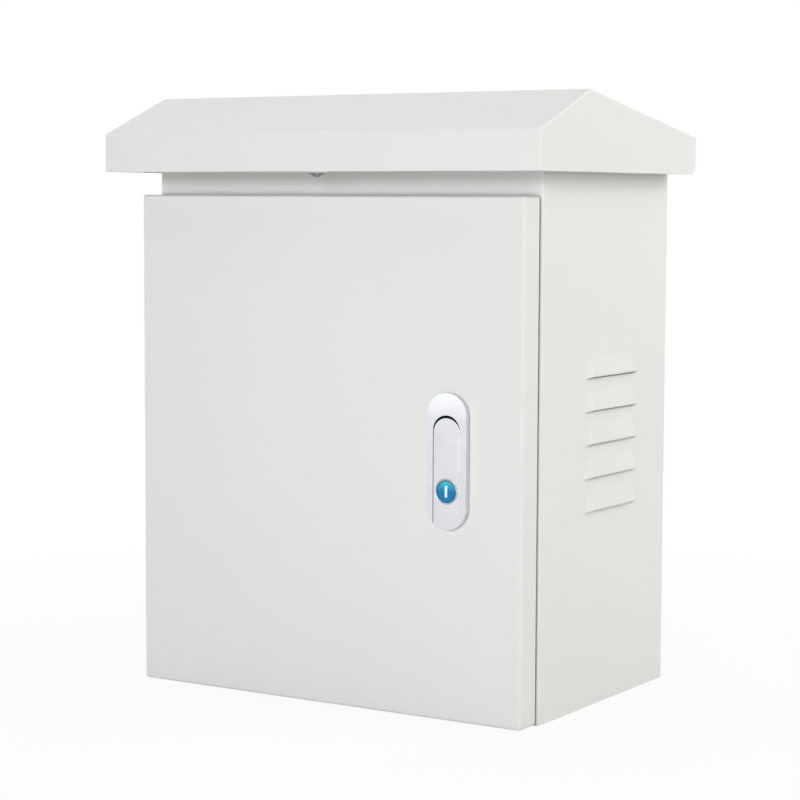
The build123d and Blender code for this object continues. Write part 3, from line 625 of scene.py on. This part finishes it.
# The body's wrap: back, sides and front flanges folded from one sheet, with louvres pressed out of both sides
bodyPlan = {"half": 200, "front": -98, "back": 142, "high": 490, "fold": 2.4, "foldSteps": 6, "sheet": 1.2,
            "opening": 174, "lipReach": 15.2, "lipLow": 24.8, "lipHigh": 421.7,
            "holeX": 170, "holeZ": (45, 455), "holeRadius": 4.5, "holeSteps": 32}
louvrePlan = {"count": 5, "lowest": 172.1, "pitch": 29.23, "height": 20.5, "reach": 6, "slit": 1.5,
              "front": -18, "back": 79, "endRun": 7, "tipRun": 0.01, "steps": 8,
              "lip": 2.4, "lipIn": 1.6, "lipSteps": 5}


def onSide(vert):
    return abs(abs(vert.co.x) / mm - bodyPlan["half"]) < near


def sideFace(face):
    return all(onSide(vert) for vert in face.verts)


def pressLouvre(bm, lip):
    plan = louvrePlan
    top = lip + plan["height"]
    cut = [edge for edge in bm.edges
           if all(onSide(vert) and abs(vert.co.z / mm - lip) < near
                  and plan["front"] - near < vert.co.y / mm < plan["back"] + near for vert in edge.verts)]
    bmesh.ops.split_edges(bm, edges=cut)
    for vert in bm.verts:
        x, y, z = vert.co / mm
        above = max((face.calc_center_median().z for face in vert.link_faces), default=0) > lip * mm
        if not onSide(vert) or not above or not lip - near < z < top + near:
            continue
        rise = min(1, max(0, (z - lip) / plan["height"]))
        inside = min(y - plan["front"], plan["back"] - y) - plan["endRun"] * rise
        share = min(1, max(0, inside / (plan["endRun"] * (1 - rise) + plan["tipRun"])))
        pulled = math.sin(share * math.pi / 2)
        rolled = max(0, 1 - (z - lip) / plan["lip"])
        out = plan["reach"] * (1 - rise) - plan["lipIn"] * rolled * rolled
        vert.co.x += math.copysign(out * mm, x) * pulled
        vert.co.z += plan["slit"] * mm * (1 - rise) * pulled


def foldWrap(bm):  # the sheet's outer face, with the wall-fixing holes
    plan = bodyPlan
    half = plan["half"] - plan["fold"]
    front = plan["front"] + plan["fold"]
    back = plan["back"] - plan["fold"]
    flange = plan["opening"] - half
    corners = [(-half, front), (-half, back), (half, back), (half, front)]
    folds = [bend((x, y, 0), (0, 0, 1), -90, plan["foldSteps"]) for x, y in corners]
    rim = traceOutline(bm, (-plan["opening"], plan["front"], 0),
                       [run((flange, 0, 0)), folds[0], run((0, back - front, 0)), folds[1],
                        run((2 * half, 0, 0)), folds[2], run((0, front - back, 0)), folds[3],
                        run((flange, 0, 0))])
    pushEdges(bm, rim, (0, 0, plan["high"]))
    weld(bm)
    wall = [face for face in bm.faces if inPlane(face, plan["back"])]
    holes = list(wall[0].edges)
    for side in (-1, 1):
        for z in plan["holeZ"]:
            place = (side * plan["holeX"], plan["back"], z)
            holes += traceRing(bm, plan["holeRadius"], place, plan["holeSteps"])
    bmesh.ops.delete(bm, geom=wall, context="FACES_ONLY")
    fill(bm, holes)


def turnGutter(bm):  # the flanges turn forwards beside the door's opening
    plan = bodyPlan
    sheet = plan["sheet"]
    low = plan["lipLow"]
    high = plan["lipHigh"]
    cutLoops(bm, (low - sheet, low, high, high + sheet), "z", lambda face: inPlane(face, plan["front"]))
    lips = [edge for edge in bm.edges
            if all(abs(abs(vert.co.x) / mm - plan["opening"]) < near
                   and low - near < vert.co.z / mm < high + near for vert in edge.verts)]
    for vert in cornersOf(lips):
        vert.co.x += math.copysign(sheet * mm, vert.co.x)
    pushEdges(bm, lips, (0, -plan["lipReach"], 0))


def makeBody():
    plan = louvrePlan
    steps = plan["steps"]
    lipSteps = plan["lipSteps"]
    bm = bmesh.new()
    foldWrap(bm)
    turnGutter(bm)
    # Loops round each louvre, then the pressing itself
    lows = [plan["lowest"] + plan["pitch"] * number for number in range(plan["count"])]
    ends = [plan["endRun"] * step / steps for step in range(steps + 1)]
    cutLoops(bm, [plan["front"] + end for end in ends] + [plan["back"] - end for end in ends], "y", sideFace)
    rises = [plan["height"] * step / steps for step in range(steps + 1)]
    rises += [plan["lip"] * step / lipSteps for step in range(1, lipSteps + 1)]
    cutLoops(bm, [lip + rise for lip in lows for rise in rises], "z", sideFace)
    for lip in lows:
        pressLouvre(bm, lip)
    bmesh.ops.recalc_face_normals(bm, faces=bm.faces)
    bmesh.ops.solidify(bm, geom=bm.faces[:], thickness=bodyPlan["sheet"] * mm)
    finishPiece("bodyWrap", bm, "cabinet", "paint", "body_wrap")


makeBody()
makeHandle()
makeLockBase()
makeBarrel()
makeKeyDisc()
makeKeyhole()

# White studio: a pale floor that keeps a faint shadow, and soft lamps on all sides
studio = {"floorHalf": 15, "floorColour": (0.65, 0.647, 0.638, 1), "floorGlow": 0.92,
          "shadowReach": 0.3, "shadowEnd": 1.1, "white": (1, 1, 1, 1)}
lamps = {"front": {"place": (0.25, -2.2, 0.85), "size": (1.3, 0.4), "power": 20, "tint": (0.99, 0.99, 1.045)},
         "frontBase": {"place": (0.6, -2, 0.26), "size": (1, 0.25), "power": 11.3},
         "lockGlint": {"place": (-0.75, -1.5, 0.46), "size": (0.5, 0.3), "power": 0.65},
         "sideHigh": {"place": (1.7, 0.8, 2), "size": (2, 1.5), "power": 13.5},
         "sideFar": {"place": (2.6, 0.85, 1.2), "size": (2.2, 1.9), "power": 49.5},
         "top": {"place": (-0.4, -0.2, 2.6), "size": (1.8, 1.8), "power": 27.8},
         "leftMid": {"place": (-2.2, 0.4, 0.9), "size": (1.4, 1.3), "power": 21},
         "rear": {"place": (-0.3, 2.3, 0.9), "size": (1.4, 1.3), "power": 22}}
lampAim = Vector((0, 0, 0.3))


def seenDirectly(wire):  # 1 for what the eye meets straight on, in a mirror or through glass
    eye, mirror, glass = [wire.add("LightPath", out="Is %s Ray" % kind)
                          for kind in ("Camera", "Glossy", "Transmission")]
    return wire.maths("MAXIMUM", wire.maths("MAXIMUM", eye, mirror), glass)


def makeFloor():
    bm = bmesh.new()
    bmesh.ops.create_grid(bm, x_segments=1, y_segments=1, size=studio["floorHalf"])
    mesh = bpy.data.meshes.new("floor")
    bm.to_mesh(mesh)
    bm.free()
    floor = bpy.data.objects.new("floor", mesh)
    bpy.context.scene.collection.objects.link(floor)
    material = bpy.data.materials.new("paleFloor")
    material.use_nodes = True
    material.node_tree.nodes.clear()
    wire = Wire(material.node_tree)
    matt = wire.add("BsdfDiffuse", None, {"Color": studio["floorColour"]})
    glow = wire.add("Emission", None, {"Color": studio["white"], "Strength": 1})
    place = wire.add("TexCoord", out="Object")
    away = wire.add("VectorMath", {"operation": "LENGTH"}, {0: place}, "Value")
    share = wire.add("MapRange", {"interpolation_type": "SMOOTHSTEP"},
                     {"Value": away, "From Min": studio["shadowReach"], "From Max": studio["shadowEnd"],
                      "To Min": studio["floorGlow"], "To Max": 1})
    mixed = wire.add("MixShader", None, {0: seenDirectly(wire) * share, 1: matt, 2: glow})
    wire.add("OutputMaterial", None, {"Surface": mixed})
    mesh.materials.append(material)


def makeSky():  # white to look at, but it lights nothing
    world = bpy.data.worlds.new("whiteStudio")
    bpy.context.scene.world = world
    world.use_nodes = True
    world.node_tree.nodes.clear()
    wire = Wire(world.node_tree)
    unlit = wire.add("Background", None, {"Color": studio["white"], "Strength": 0})
    white = wire.add("Background", None, {"Color": studio["white"], "Strength": 1})
    mixed = wire.add("MixShader", None, {0: seenDirectly(wire), 1: unlit, 2: white})
    wire.add("OutputWorld", None, {"Surface": mixed})


def makeLamp(name, plan):
    light = bpy.data.lights.new(name, "AREA")
    light.shape = "RECTANGLE"
    light.size, light.size_y = plan["size"]
    light.energy = plan["power"]
    light.color = plan.get("tint", studio["white"][:3])
    lamp = bpy.data.objects.new(name, light)
    bpy.context.scene.collection.objects.link(lamp)
    lamp.location = plan["place"]
    lamp.visible_camera = False
    lamp.rotation_euler = (lampAim - lamp.location).to_track_quat("-Z", "Y").to_euler()


# The camera stands to the right of the door, a little below the hood's eave
camera = {"place": (1.10175, -1.75945, 0.44419), "yaw": 32.065, "pitch": 5.077, "roll": 0.235,
          "lens": 102.09, "sensor": 36}


def makeCamera():
    data = bpy.data.cameras.new("camera")
    data.lens = camera["lens"]
    data.sensor_width = camera["sensor"]
    eye = bpy.data.objects.new("camera", data)
    bpy.context.scene.collection.objects.link(eye)
    turn = Matrix.Rotation(math.radians(camera["yaw"]), 4, "Z")
    tilt = Matrix.Rotation(math.radians(90 - camera["pitch"]), 4, "X")
    roll = Matrix.Rotation(math.radians(camera["roll"]), 4, "Z")
    eye.matrix_world = Matrix.Translation(camera["place"]) @ turn @ tilt @ roll
    bpy.context.scene.camera = eye


makeFloor()
makeSky()
for lampName, lampPlan in lamps.items():
    makeLamp(lampName, lampPlan)
makeCamera()
bpy.context.scene.view_settings.view_transform = "Standard"
print("stage: studio and camera ready")
